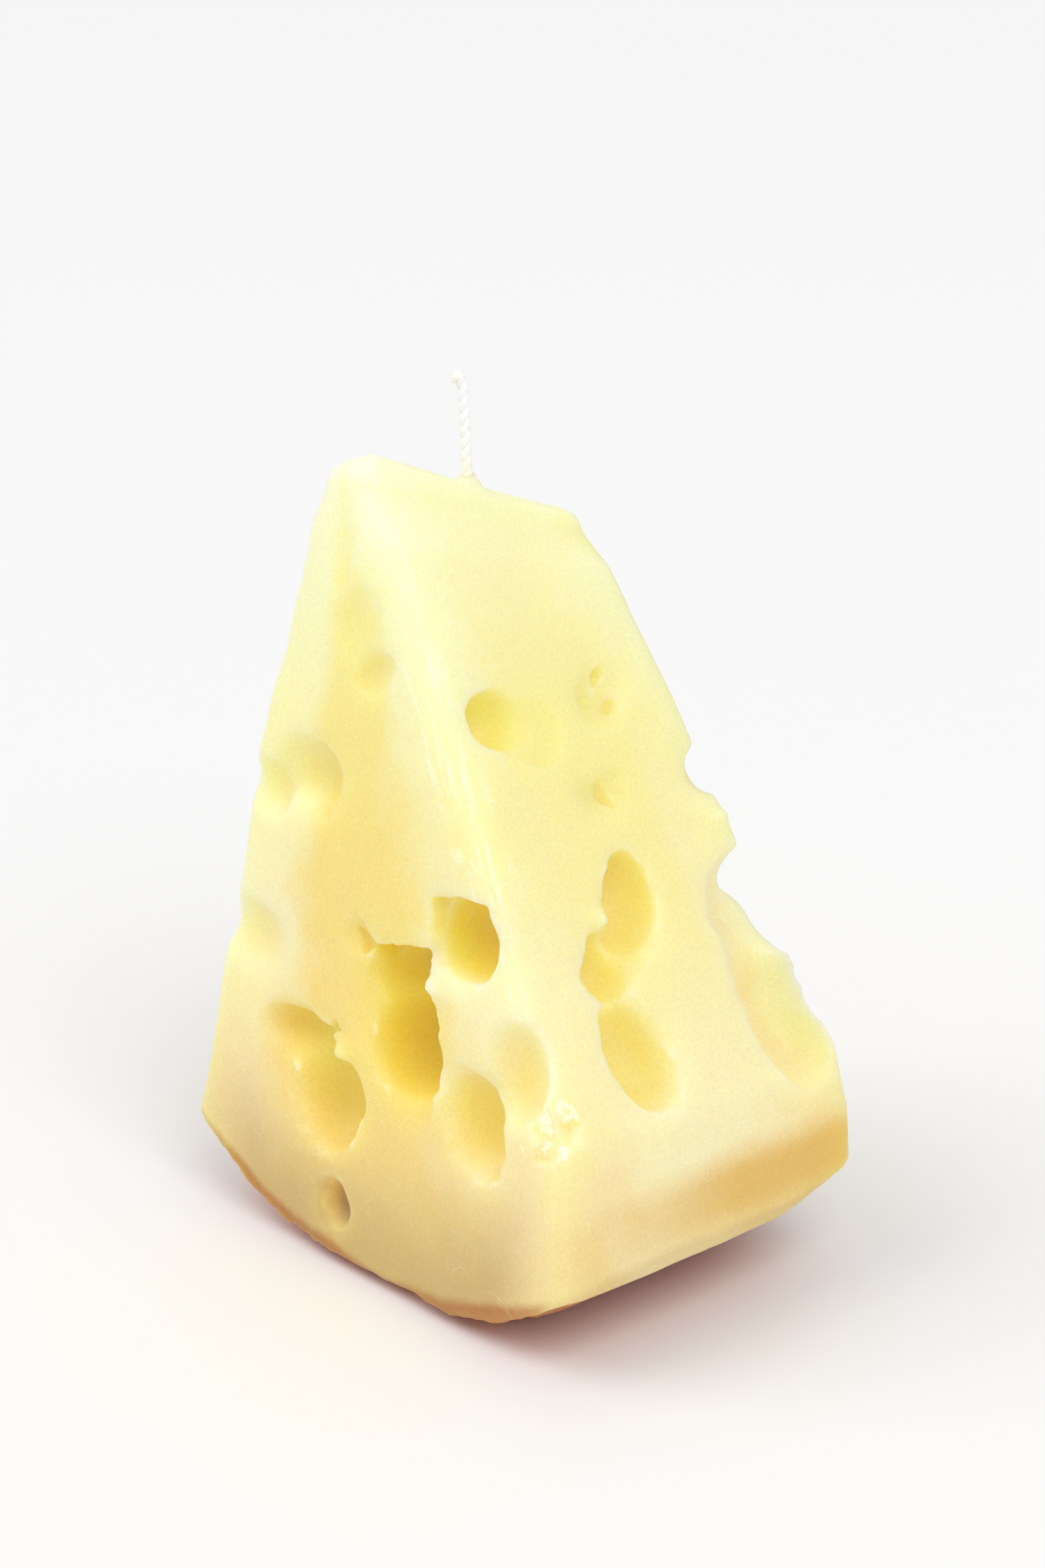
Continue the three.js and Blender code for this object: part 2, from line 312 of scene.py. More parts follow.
# the wedge's flat sides: how far out they are at the table, and how far in they go a millimetre up
block = {
    "frontFoot": 28.4,
    "frontLean": 0.0705,
    "rightFoot": 56.1,
    "rightLean": 0.5535,
    "ridgeFoot": (49.3, -27.9),  # the edge between the two
    "ridgeLean": (0.4957, -0.0717),
    "footLift": 11,  # how far the underside rises toward both ends
    "footPower": 2.1,
}
faces = {  # a point at the foot of each flat side, the ways across and up it, and its outward direction
    "front": ((0, -block["frontFoot"], 0), (1, 0, 0), (0, block["frontLean"], 1), (0.01, -1, 0.08)),
    "right": ((block["rightFoot"], 0, 0), (0, 1, 0), (-block["rightLean"], 0, 1), (0.87, 0.02, 0.49)),
}
# shape, face, across and up it, depth of the middle, reach across, up and inwards, turn in degrees
hollows = {
    "stepOfTall": ("ball", "front", (4.0, 43.0), 2, (5.4, 5.0, 6.0), 0),
    "slopeOfTall": ("ball", "front", (-1.8, 41.5), 0, (4.6, 8.0, 2.2), 0),
    "footOfTall": ("ball", "front", (6.0, 31.4), 0, (5.4, 6.6, 3.4), 0),
    "middleOfTwin": ("ball", "front", (-14.4, 29.4), 1.4, (5.8, 4.4, 4.4), 15),
    "slopeOfTwin": ("ball", "front", (-20.0, 27.5), 0, (6.0, 7.6, 2.2), 0),
    "softByCorner": ("ball", "front", (27.6, 41.4), 0, (5.6, 7.4, 4.0), 0),
    "softByTip": ("ball", "front", (-13.0, 105.0), 0, (2.6, 8.0, 1.4), 0),
    "softByDimple": ("ball", "front", (-10.2, 93.6), 0, (5.0, 4.0, 1.5), 30),
    "softByPit": ("ball", "right", (2.2, 70.9), 1.3, (5.0, 3.2, 1.9), 0),
    "middleOfChain": ("ball", "right", (-5.0, 52.8), 1.6, (3.6, 4.0, 4.0), 0),
    "slopeOfChain": ("ball", "right", (-1.6, 48.0), 0, (5.0, 14.0, 1.8), 8),
    "longGroove": ("ball", "right", (19.6, 43.5), 0, (5.6, 16.0, 6.0), 8),
    "headOfGroove": ("ball", "right", (25.8, 57.8), 7.5, (4.4, 4.2, 5.0), 0),
    "softByNicks": ("ball", "right", (8.6, 82.8), 1.3, (4.8, 4.0, 1.7), 20),
}
lumps = {
    "toothOfTwin": ("ball", "front", (-7.2, 32.9), 0.9, (1.9, 1.6, 2.0), 0),
    "pinchOfTall": ("ball", "front", (10.6, 48.6), 1.4, (1.8, 1.7, 2.8), 0),
    "lipOfSlope": ("ball", "right", (21.4, 64.2), 1.6, (2.2, 1.7, 1.9), 0),
    "lobeOfChain": ("ball", "right", (-6.4, 57.4), 1.2, (1.5, 2.2, 1.6), 0),
}
nicks = {
    "cornerOfRound": (5, "front", (15.6, 57.0), 0, (7.5, 6.7, 5.0), 40),
    "roofOfTall": ("block", "front", (3.3, 49.0), 0, (6.3, 2.7, 6.0), 15),
    "jointOfRound": (5, "front", (10.4, 55.2), 0, (2.4, 3.2, 2.6), 0),
    "leftOfRound": ("block", "front", (11.7, 58.2), 0, (3.2, 2.8, 3.4), 8),
    "sideOfTall": (6, "front", (8.5, 43.2), 0, (3.5, 3.8, 4.6), 20),
    "spikeOfTall": (3, "front", (-4.9, 49.9), 0, (3.8, 3.0, 2.6), 169),
    "topOfTwin": (6, "front", (-15.4, 32.4), 0, (7.2, 3.6, 3.0), 14),
    "spikeOfTwin": (3, "front", (-9.9, 35.4), 0, (2.6, 1.6, 2.6), 20),
    "spikeByLeft": (3, "front", (-22.4, 34.4), 0, (2.4, 1.8, 1.6), 40),
    "sideOfLow": (5, "front", (18.8, 32.2), 0, (4.0, 5.8, 3.0), 5),
    "footOfLow": (5, "front", (22.6, 27.4), 0, (3.0, 4.2, 2.6), 30),
    "dimple": ("ball", "front", (-5.2, 88.2), 0, (5.4, 2.9, 2.2), 35),
    "dimpleCorner": (4, "front", (-3.4, 89.0), 0, (2.2, 1.2, 1.4), 20),
    "pit": (3, "right", (3.4, 71.4), 2.7, (3.6, 1.9, 1.8), 100),
    "lipOfRound": ("ball", "right", (-5.4, 80.8), 1.8, (5.2, 5.0, 1.4), 0),
    "nickOne": (5, "right", (6.2, 82.4), 1.9, (2.2, 1.7, 1.2), 0),
    "nickTwo": (4, "right", (10.0, 81.2), 1.9, (2.4, 1.1, 1.3), 30),
    "nickThree": (5, "right", (9.6, 85.0), 1.9, (1.8, 1.0, 1.2), 50),
    "overhang": (5, "right", (-9.8, 51.6), 0, (2.8, 3.2, 3.2), 20),
    "sideOfRound": (5, "right", (-11.6, 82.8), 0, (3.3, 3.6, 4.0), 0),
    "footOfChain": (5, "right", (-6.0, 38.0), 0, (3.9, 5.2, 2.6), 30),
    "topOfGroove": (5, "right", (18.0, 55.0), 0, (3.8, 5.0, 3.0), 10),
    "flakeFront": (4, "front", (33.2, 36.0), 0, (3.0, 4.6, 0.9), 25),
    "flakeSide": (3, "right", (-24.4, 36.0), 0, (3.2, 4.2, 0.9), 50),
    "flakeFoot": (3, "front", (33.4, 32.0), 0, (2.6, 2.4, 0.8), 10),
}
scuffs = {  # where the wax is scratched and flaked pale: place, reach, strength
    "besideDimple": ((2.0, -21.3, 89.0), 6.0, 0.7),
    "ridgeMiddle": ((12.0, -22.4, 75.2), 7.0, 0.7),
    "ridgeLower": ((15.0, -22.6, 68.0), 6.0, 0.6),
    "aboveRound": ((2.8, -9.4, 94.1), 6.5, 0.5),
    "nicks": ((7.4, 10.2, 82.0), 6.0, 0.55),
    "footOfTall": ((0.5, -25.8, 27.0), 5.0, 0.5),
    "edgeOfChain": ((35.0, -3.0, 38.0), 5.0, 0.5),
    "flake": ((33.2, -24.8, 35.6), 5.4, 1.7),
    "tipCorner": ((-11.0, -17.5, 114.0), 4.0, 0.5),
    "belowPit": ((16.5, 4.6, 66.5), 4.5, 0.5),
}
wear = {"from": (0.68, -0.60, 0.42), "everywhere": 0.45}  # the rims turned this way are worn the softest


def copyOfNode(node, name):
    piece = bpy.data.objects.new(name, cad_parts[node].data.copy())
    bpy.context.scene.collection.objects.link(piece)
    pick(piece)
    bpy.ops.object.mode_set(mode="EDIT")
    bpy.ops.mesh.select_all(action="SELECT")
    bpy.ops.mesh.remove_doubles(threshold=0.001 * mm)
    bpy.ops.object.mode_set(mode="OBJECT")
    piece.data.materials.clear()
    return piece


def cloudTexture(name, size, depth=2, coloured=False):
    texture = bpy.data.textures.new(name, "CLOUDS")
    texture.noise_scale = size * mm
    texture.noise_depth = depth
    texture.noise_basis = "ORIGINAL_PERLIN"
    texture.cloud_type = "COLOR" if coloured else "GRAYSCALE"
    return texture


def onFace(skin, face, spot, sunk, reach, lean):  # stands a shape on a face, its Z pointing out
    foot, across, up, outward = (Vector(v) for v in faces[face])
    outward.normalize()
    place = foot + across * spot[0] + up * spot[1]
    hit = skin.ray_cast((place + outward * 4) * mm, -outward, 12 * mm)[0]
    place = (hit / mm if hit else place) - outward * sunk
    up = outward.cross(across).normalized()
    turn = Matrix((up.cross(outward), up, outward)).transposed().to_4x4()
    turn @= Matrix.Rotation(math.radians(lean), 4, "Z")
    return Matrix.Translation(place * mm) @ turn @ Matrix.Diagonal((*reach, 1))


# a ball leaves a smooth hollow, a block or a number of sides an angular one
def carve(wax, skin, forms, operation="DIFFERENCE"):
    cutters = []
    for shape, face, spot, sunk, reach, lean in forms.values():
        deselectAll()
        if shape == "ball":
            bpy.ops.mesh.primitive_ico_sphere_add(subdivisions=3, radius=mm)
        elif shape == "block":
            bpy.ops.mesh.primitive_cube_add(size=2 * mm)
        else:
            bpy.ops.mesh.primitive_cone_add(
                vertices=shape, radius1=0.7 * mm, radius2=1.3 * mm, depth=2 * mm,
            )
        cutter = bpy.context.object
        cutter.matrix_world = onFace(skin, face, spot, sunk, reach, lean)
        settle(cutter)
        cutters.append(cutter)
    for cutter in cutters:
        addModifier(wax, "BOOLEAN", object=cutter, operation=operation, solver="MANIFOLD")
        applyModifiers(wax)
    deselectAll()
    for cutter in cutters:
        bpy.data.objects.remove(cutter)
    wax.data.materials.clear()


def newSkin(wax):
    addModifier(wax, "REMESH", mode="VOXEL", voxel_size=waxShape["voxel"] * mm)
    applyModifiers(wax)


def pointsOf(mesh):
    points = np.empty(len(mesh.vertices) * 3)
    mesh.vertices.foreach_get("co", points)
    return points.reshape(-1, 3)


def normalsOf(mesh):
    normals = np.empty(len(mesh.vertices) * 3)
    mesh.vertices.foreach_get("normal", normals)
    return normals.reshape(-1, 3)


def edgesOf(mesh):
    edges = np.empty(len(mesh.edges) * 2, np.int32)
    mesh.edges.foreach_get("vertices", edges)
    return edges.reshape(-1, 2)


def smoothed(points, edges, rounds):  # each point moves to the mean of its neighbours
    count = np.bincount(edges.ravel(), minlength=len(points))[:, None]
    for _ in range(rounds):
        total = np.zeros_like(points)
        for axis in range(points.shape[1]):
            total[:, axis] = np.bincount(edges[:, 0], points[edges[:, 1], axis], len(points))
            total[:, axis] += np.bincount(edges[:, 1], points[edges[:, 0], axis], len(points))
        points = 0.5 * points + 0.5 * total / count
    return points


def spread(values, edges, rounds):  # the same for one value a point
    return smoothed(values[:, None], edges, rounds)[:, 0]


def outstanding(mesh, edges, rounds):  # how far each point stands out of its surroundings, in millimetres
    points = pointsOf(mesh)
    return ((points - smoothed(points, edges, rounds)) * normalsOf(mesh)).sum(1) / mm


def between(values, low, high):  # 0 at low and 1 at high, as rangeNode has them
    return np.clip((values - low) / (high - low), 0, 1)


def tightSkin(wax):  # the block without its holes, as if wrapped
    hull = wax.copy()
    hull.data = wax.data.copy()
    bpy.context.scene.collection.objects.link(hull)
    pick(hull)
    bpy.ops.object.mode_set(mode="EDIT")
    bpy.ops.mesh.select_all(action="SELECT")
    bpy.ops.mesh.convex_hull(delete_unused=True, use_existing_faces=False)
    bpy.ops.object.mode_set(mode="OBJECT")
    corners = [vertex.co for vertex in hull.data.vertices]
    tree = BVHTree.FromPolygons(corners, [face.vertices for face in hull.data.polygons])
    deselectAll()
    bpy.data.objects.remove(hull)
    return tree


def hullDepth(wax):  # how far each point lies inside the tight skin, in millimetres
    skin = tightSkin(wax)
    return np.array([skin.find_nearest(v.co)[3] for v in wax.data.vertices]) / mm


def footHeight(points):  # height above the rounded underside, in millimetres
    return points[:, 2] / mm - block["footLift"] * (np.abs(points[:, 0]) / waxTop.x) ** block["footPower"]


def paintGroup(piece, name, weights):
    group = piece.vertex_groups.new(name=name)
    levels = np.round(np.clip(weights, 0, 1) * 20).astype(int)
    for level in range(1, 21):
        chosen = np.flatnonzero(levels == level)
        if len(chosen):
            group.add(chosen.tolist(), level / 20, "REPLACE")
    return group.name


def roundRims(wax):
    depth = hullDepth(wax)
    edges = edgesOf(wax.data)
    clear = between(footHeight(pointsOf(wax.data)), 2, 6)
    turned = np.clip((smoothed(normalsOf(wax.data), edges, 12) @ np.array(wear["from"]) - 0.25) * 2.4, 0, 1)
    inside = spread(np.clip(depth / 1.2 - 0.5, 0, 1), edges, 30) * 2.4
    inside = np.minimum(inside, 1) * (wear["everywhere"] + (1 - wear["everywhere"]) * turned)
    sharp = np.clip(outstanding(wax.data, edges, 8) * 8 - 0.5, 0, 1)
    rim = spread(sharp * between(depth, 0.2, 1.2) * between(depth, 4, 3), edges, 14) * 4
    soft = paintGroup(wax, "soft", np.minimum(inside, clear))
    uneven = paintGroup(wax, "uneven", np.minimum(rim, clear))
    warp = cloudTexture("rimWarp", waxShape["warpSize"], depth=1, coloured=True)
    addModifier(wax, "SMOOTH", factor=0.5, iterations=waxShape["rounding"], vertex_group=soft)
    addModifier(
        wax, "DISPLACE", texture=warp, direction="RGB_TO_XYZ", texture_coords="LOCAL",
        strength=waxShape["warp"] * mm, mid_level=0.5, vertex_group=uneven,
    )
    applyModifiers(wax)


def scuffing(points):  # how scuffed the wax is at each point, 0 to 1
    scuffed = np.zeros(len(points))
    for place, reach, strength in scuffs.values():
        away = np.linalg.norm(points / mm - np.array(place), axis=1) / reach
        scuffed = np.maximum(scuffed, np.clip(1.3 - away, 0, 1) * strength)
    return scuffed


def roughen(wax):
    points = pointsOf(wax.data)
    x, y, z = (points / mm).T
    alongEdge = between(np.abs(y), 20, 24) * between(np.abs(x), 36, 30)
    lip = paintGroup(wax, "lip", (1.6 - footHeight(points) / 1.6) * alongEdge)
    scuffed = paintGroup(wax, "scratched", scuffing(points))
    coarse = cloudTexture("faceLumps", waxShape["lumpSize"], depth=1)
    fine = cloudTexture("ripples", waxShape["rippleSize"])
    ragged = cloudTexture("raggedLip", waxShape["lipSize"], depth=3)
    scratched = cloudTexture("scratches", waxShape["scratchSize"], depth=2)
    layers = (
        (coarse, "lump", ""), (fine, "ripple", ""), (ragged, "lip", lip), (scratched, "scratch", scuffed),
    )
    for texture, size, group in layers:
        addModifier(
            wax, "DISPLACE", texture=texture, texture_coords="LOCAL", strength=waxShape[size] * mm,
            mid_level=0.5, vertex_group=group,
        )
    thinEdge = between(x, 18, 22) * between(y, 18, 21) * (between(z, 24, 30) * between(z, 58, 54))
    thinEdge = paintGroup(wax, "thinEdge", thinEdge)
    addModifier(wax, "SMOOTH", factor=0.5, iterations=waxShape["edgeRounding"], vertex_group=thinEdge)
    addModifier(wax, "SMOOTH", factor=0.5, iterations=2)
    applyModifiers(wax)


def thin(wax):
    triangles = sum(len(face.vertices) - 2 for face in wax.data.polygons)
    print("skin has", triangles, "triangles")
    if triangles > waxShape["mostTriangles"]:
        addModifier(wax, "DECIMATE", ratio=waxShape["mostTriangles"] / triangles)
        applyModifiers(wax)


def flattenFoot(wax):  # nothing reaches below the table
    points = pointsOf(wax.data)
    points[:, 2] = np.maximum(points[:, 2], 0)
    wax.data.vertices.foreach_set("co", points.ravel())
    wax.data.update()


def storeValues(mesh, name, values):
    layer = mesh.attributes.new(name, "FLOAT", "POINT")
    layer.data.foreach_set("value", values.astype(np.float32))


def measureSkin(wax):  # how deep each point lies in a hole, how sharp the surface is there, and how scuffed
    mesh = wax.data
    storeValues(mesh, "holeDepth", hullDepth(wax))
    points = pointsOf(mesh)
    edges = edgesOf(mesh)
    storeValues(mesh, "fineRim", spread(outstanding(mesh, edges, 6), edges, 2))
    storeValues(mesh, "scuffed", scuffing(points))
    x, y, z = (points / mm).T
    underSlope = (block["rightFoot"] - block["rightLean"] * z - x) * faces["right"][3][0]
    underFlat = block["frontFoot"] - block["frontLean"] * z - np.abs(y)
    storeValues(mesh, "sloping", np.clip((underFlat - underSlope) / 5 + 0.5, 0, 1))
    ridgeX, ridgeY = (foot - lean * z for foot, lean in zip(block["ridgeFoot"], block["ridgeLean"]))
    storeValues(mesh, "byRidge", np.clip(1.4 - np.hypot((x - ridgeX) * 0.9, y - ridgeY) / 6, 0, 1))


waxLooks = {
    # share of the height and colour there: middle and rim of the faces, sloping face, then inside the holes;
    # paler towards the top is painted light from above, browner towards the foot is rind stain, and the deeper
    # yellow inside the holes is painted glow
    "heart": (
        (0.10, (234, 208, 136)), (0.30, (244, 218, 136)), (0.55, (252, 225, 136)), (0.82, (255, 238, 158)),
        (0.97, (255, 244, 192)),
    ),
    "edge": (
        (0.10, (234, 214, 158)), (0.30, (247, 232, 176)), (0.43, (252, 238, 192)), (0.60, (253, 238, 176)),
        (0.95, (255, 247, 206)),
    ),
    "slope": (
        (0.15, (248, 239, 194)), (0.30, (250, 236, 188)), (0.48, (251, 235, 168)), (0.70, (255, 236, 160)),
        (0.95, (255, 245, 198)),
    ),
    "paintedHoleGlow": (
        (0.12, (242, 218, 110)), (0.22, (249, 226, 110)), (0.36, (255, 228, 106)), (0.90, (255, 238, 134)),
    ),
    "paintedSlopeHoleGlow": (
        (0.40, (255, 234, 144)), (0.55, (255, 234, 140)), (0.70, (255, 240, 144)), (0.90, (255, 242, 150)),
    ),
    "inGroove": (255, 236, 184),
    "frontFootStainAndShade": (206, 178, 118),
    "band": (226, 186, 94),
    "rind": (172, 112, 58),
    "underside": (210, 104, 28),
    "paleWearAndHighlight": (255, 249, 214),
    "acrossReach": (43.0, -0.33),  # how far the sides are out at the table, and the change a millimetre up
    "acrossLean": -0.122,  # how far the middle goes sideways a millimetre up
    "alongReach": (29.0, -0.078),
    "holeDepth": (0.8, 6.4),  # from where to where the painted glow deepens the colour inside a hole, in millimetres
    "bandHeight": (26, 20),
    "rindHeight": (3.6, 1.6),
    "glowColour": (1.0, 0.86, 0.36),
    "glowDepth": 11,
}


def sideways(tree, place, height, reach, lean):  # 0 in the middle of the block, 1 at its side
    atTable, change = reach
    middle = mathNode(tree, "MULTIPLY", height, lean)
    side = mathNode(tree, "MULTIPLY_ADD", height, change, atTable * mm)
    away = mathNode(tree, "ABSOLUTE", mathNode(tree, "SUBTRACT", place, middle))
    return mathNode(tree, "DIVIDE", away, side)


def storedValue(tree, name):
    return addNode(tree, "Attribute", attribute_name=name).outputs["Fac"]


def tintedTowards(tree, colour, part, name):
    return mixColour(tree, part, colour, paint(*waxLooks[name]))


def waxMaterial():
    material = newMaterial("castWax")
    tree = material.node_tree
    across, along, height = addNode(tree, "SeparateXYZ", {0: objectPlace(tree)}).outputs
    facing = addNode(tree, "SeparateXYZ", {0: addNode(tree, "NewGeometry").outputs["Normal"]}).outputs
    relativeHeight = mathNode(tree, "DIVIDE", height, waxTop.z)

    # the middle of the faces is deeper in colour than the wax along the ridges
    nearSide = sideways(tree, across, height, waxLooks["acrossReach"], waxLooks["acrossLean"])
    nearFace = sideways(tree, along, height, waxLooks["alongReach"], 0.0)
    fromLeft = mathNode(tree, "MULTIPLY_ADD", height, -0.208, across)
    nearSide = mathNode(tree, "ADD", nearSide, rangeNode(tree, fromLeft, -26 * mm, -40 * mm, 0.0, 0.6))
    nearRidge = mathNode(tree, "MINIMUM", nearSide, nearFace)
    cloudy = mathNode(tree, "MULTIPLY_ADD", noiseOf(tree, 12, detail=5, roughness=0.6), 1.3, -0.65)
    heart = rangeNode(tree, mathNode(tree, "ADD", nearRidge, cloudy), 0.9, 0.25)
    # painted light from above: the ramps by height make the wax paler towards the top; browner towards the foot
    # is rind stain
    edge, middle, slope = (
        rampNode(tree, relativeHeight, waxLooks[name]) for name in ("edge", "heart", "slope")
    )
    sloping = storedValue(tree, "sloping")
    depth = storedValue(tree, "holeDepth")
    colour = mixColour(tree, heart, edge, mixColour(tree, sloping, middle, slope))
    # painted glow and interreflection: the wax inside the holes is made a deeper, brighter yellow, more so the
    # deeper the point lies
    paintedHoleGlow = rampNode(tree, relativeHeight, waxLooks["paintedHoleGlow"])
    paintedHoleGlow = mixColour(tree, sloping, paintedHoleGlow, rampNode(tree, relativeHeight, waxLooks["paintedSlopeHoleGlow"]))
    inGroove = rangeNode(tree, along, 9 * mm, 14 * mm)
    paintedHoleGlowMask = product(
        tree, rangeNode(tree, depth, *waxLooks["holeDepth"]), rangeNode(tree, height, 12 * mm, 20 * mm),
    )
    colour = mixColour(tree, product(tree, paintedHoleGlowMask, mathNode(tree, "SUBTRACT", 1.0, inGroove)), colour, paintedHoleGlow)
    inGroove = product(tree, inGroove, sloping, rangeNode(tree, depth, 0.5, 3.0))
    colour = tintedTowards(tree, colour, inGroove, "inGroove")

    # brownish foot, partly rind stain and partly painted shade near the table, then band and rind
    drift = mathNode(tree, "MULTIPLY_ADD", noiseOf(tree, 14, detail=4), 8 * mm, -4 * mm)
    outward = mathNode(tree, "DIVIDE", mathNode(tree, "ABSOLUTE", across), waxTop.x)
    curve = mathNode(tree, "POWER", outward, block["footPower"])
    lift = mathNode(tree, "MULTIPLY", curve, block["footLift"] * mm)
    aboveFoot = mathNode(tree, "SUBTRACT", height, lift)
    frontSide = rangeNode(tree, facing[1], -0.35, -0.75)
    offCorner = rangeNode(tree, across, 37 * mm, 24 * mm)
    offCorner = product(tree, offCorner, rangeNode(tree, across, -38 * mm, -22 * mm, 0.2, 1.0))
    # rind stain and painted shade: the front grows darker and browner towards the table
    lowFrontStainAndShade = rangeNode(tree, mathNode(tree, "ADD", aboveFoot, drift), 22 * mm, 1 * mm)
    colour = tintedTowards(tree, colour, product(tree, frontSide, offCorner, lowFrontStainAndShade), "frontFootStainAndShade")
    rightEnd = rangeNode(tree, across, 34 * mm, 37.5 * mm)
    leftEnd = rangeNode(tree, across, -37.5 * mm, -39.2 * mm)
    endSide = mathNode(tree, "ADD", rightEnd, leftEnd)
    bandHeight = mathNode(tree, "MULTIPLY_ADD", drift, 0.5, height)
    band = rangeNode(tree, bandHeight, *metres(waxLooks["bandHeight"]))
    bandDepth = rangeNode(tree, along, -28 * mm, 6 * mm, 0.05, 0.9, smooth=False)
    bandDepth = product(tree, bandDepth, rangeNode(tree, aboveFoot, 0.0, 7 * mm, 0.45, 1.0))
    colour = tintedTowards(tree, colour, product(tree, endSide, band, bandDepth), "band")
    rind = mathNode(tree, "MULTIPLY_ADD", drift, 0.5, aboveFoot)
    rind = rangeNode(tree, rind, *metres(waxLooks["rindHeight"]))
    offEnd = mathNode(tree, "SUBTRACT", 0.85, product(tree, rightEnd, 0.6))
    colour = tintedTowards(tree, colour, product(tree, rind, offEnd), "rind")
    downward = product(
        tree, rangeNode(tree, facing[2], -0.7, -0.9), rangeNode(tree, aboveFoot, 7 * mm, 5 * mm),
    )
    colour = tintedTowards(tree, colour, downward, "underside")

    # pale rims, partly wear and partly painted highlight, thin scratches, streaks along the ridge and fine
    # specks
    rims = storedValue(tree, "fineRim")
    scuffed = storedValue(tree, "scuffed")
    byRidge = storedValue(tree, "byRidge")
    # wear and painted highlight together: the sharp rims are made paler
    paleWearAndHighlight = product(
        tree, rangeNode(tree, rims, 0.03, 0.14), rangeNode(tree, aboveFoot, 4 * mm, 14 * mm),
        rangeNode(tree, noiseOf(tree, 3, detail=4), 0.45, 0.65, 0.0, 0.5),
    )
    scratches = 0.0
    for size, width in ((7.0, 0.006), (11.0, 0.004)):
        curl = noiseOf(tree, size, detail=0.8, roughness=0.5, distortion=0.4)
        offLine = mathNode(tree, "ABSOLUTE", mathNode(tree, "SUBTRACT", curl, 0.5))
        line = rangeNode(tree, offLine, width, width * 0.3)
        scratches = mathNode(tree, "MAXIMUM", line, scratches)
    broken = rangeNode(tree, noiseOf(tree, 2.6, detail=3), 0.42, 0.6, 0.0, 0.8)
    chip = addNode(tree, "TexVoronoi", {
        "Vector": objectPlace(tree), "Scale": 1 / (2.3 * mm), "Randomness": 1.0,
    }, feature="F1").outputs["Color"]
    chip = addNode(tree, "SeparateColor", {0: chip}).outputs[0]
    chip = rangeNode(tree, mathNode(tree, "MULTIPLY_ADD", scuffed, 0.35, chip), 1.08, 1.12)
    chip = product(tree, chip, rangeNode(tree, noiseOf(tree, 1.6, detail=4), 0.45, 0.52))
    marks = product(tree, scratches, broken, rangeNode(tree, scuffed, 0.0, 0.35))
    chip = product(tree, chip, rangeNode(tree, scuffed, 0.1, 0.9))
    marks = mathNode(tree, "MAXIMUM", product(tree, marks, 0.6), chip)
    faint = product(tree, scratches, rangeNode(tree, noiseOf(tree, 6, detail=2), 0.5, 0.68, 0.0, 0.2))
    marks = mathNode(tree, "MAXIMUM", marks, faint)
    alongRidge = addNode(tree, "CombineXYZ", {
        0: mathNode(tree, "MULTIPLY_ADD", height, block["ridgeLean"][0], across),
        1: mathNode(tree, "MULTIPLY_ADD", height, block["ridgeLean"][1], along),
        2: mathNode(tree, "MULTIPLY", height, 0.13),
    }).outputs[0]
    streak = addNode(tree, "TexNoise", {
        "Vector": alongRidge, "Scale": 1 / (1.1 * mm), "Detail": 3.0, "Roughness": 0.6, "Distortion": 0.3,
    }).outputs["Fac"]
    ridgePatches = product(
        tree, rangeNode(tree, noiseOf(tree, 9, detail=2), 0.42, 0.6), rangeNode(tree, height, 36 * mm, 50 * mm),
    )
    streaks = product(tree, rangeNode(tree, streak, 0.53, 0.62, 0.0, 0.8), byRidge, ridgePatches)
    speck = rangeNode(tree, noiseOf(tree, 0.8, detail=2), 0.75, 0.79, 0.0, 0.6)
    pale = mathNode(tree, "MAXIMUM", paleWearAndHighlight, marks)
    pale = mathNode(tree, "MAXIMUM", pale, mathNode(tree, "MAXIMUM", streaks, speck))
    colour = tintedTowards(tree, colour, pale, "paleWearAndHighlight")
    colour, grain = grained(tree, colour, 0.45, 0.22)

    waves = noiseOf(tree, 2.6, detail=4, roughness=0.65)
    bumpHeight = mathNode(tree, "MULTIPLY_ADD", grain, 0.5, waves)
    bumpHeight = mathNode(tree, "MULTIPLY_ADD", pale, 0.8, bumpHeight)
    bump = addNode(tree, "Bump", {"Height": bumpHeight, "Strength": 0.6, "Distance": 0.14 * mm})
    gloss = rangeNode(tree, noiseOf(tree, 5, detail=3), 0.35, 0.65, 0.38, 0.52)
    return finish(material, addNode(tree, "BsdfPrincipled", {
        "Base Color": colour,
        "Roughness": gloss,
        "Normal": bump.outputs[0],
        "IOR": 1.44,
        "Specular IOR Level": 0.4,
        "Subsurface Weight": 0.95,
        "Subsurface Radius": waxLooks["glowColour"],
        "Subsurface Scale": waxLooks["glowDepth"] * mm,
    }))


wickShape = {
    "foot": (-11.41, 0.70, 108.93),  # where it leaves the wax
    "buried": 4.0,
    "rise": ((0, 0), (0.2, 5), (0.35, 9.5), (0.6, 13.6), (1.1, 14.8), (1.9, 15.0)),  # sideways and up
    "bearing": 228,  # degrees, the way it curls over
    "strand": 0.6,  # radius of one of the three strands
    "spread": 0.2,
    "flatness": (1.25, 0.8),  # the plait is wider than it is thick
    "turnLength": 5.2,  # one full plait
    "frayed": 0.6,  # how much thicker its end is
    "frayFrom": 0.92,
    "waxed": (0.57, 5.57),  # how far above the foot the yellowish wax on it ends
    "tipTint": (14.27, 15.27),
    "steps": 90,
}


def wickPath(part):  # a point on the middle line, 0 in the wax and 1 at the end
    stops = [(0, -wickShape["buried"])] + list(wickShape["rise"])
    lengths = [math.dist(a, b) for a, b in zip(stops, stops[1:])]
    left = part * sum(lengths)
    for start, end, length in zip(stops, stops[1:], lengths):
        if left <= length:
            break
        left -= length
    share = min(left / length, 1)
    out, up = (a + (b - a) * share for a, b in zip(start, end))
    bearing = math.radians(wickShape["bearing"])
    foot = wickShape["foot"]
    return Vector((foot[0] + out * math.cos(bearing), foot[1] + out * math.sin(bearing), foot[2] + up))


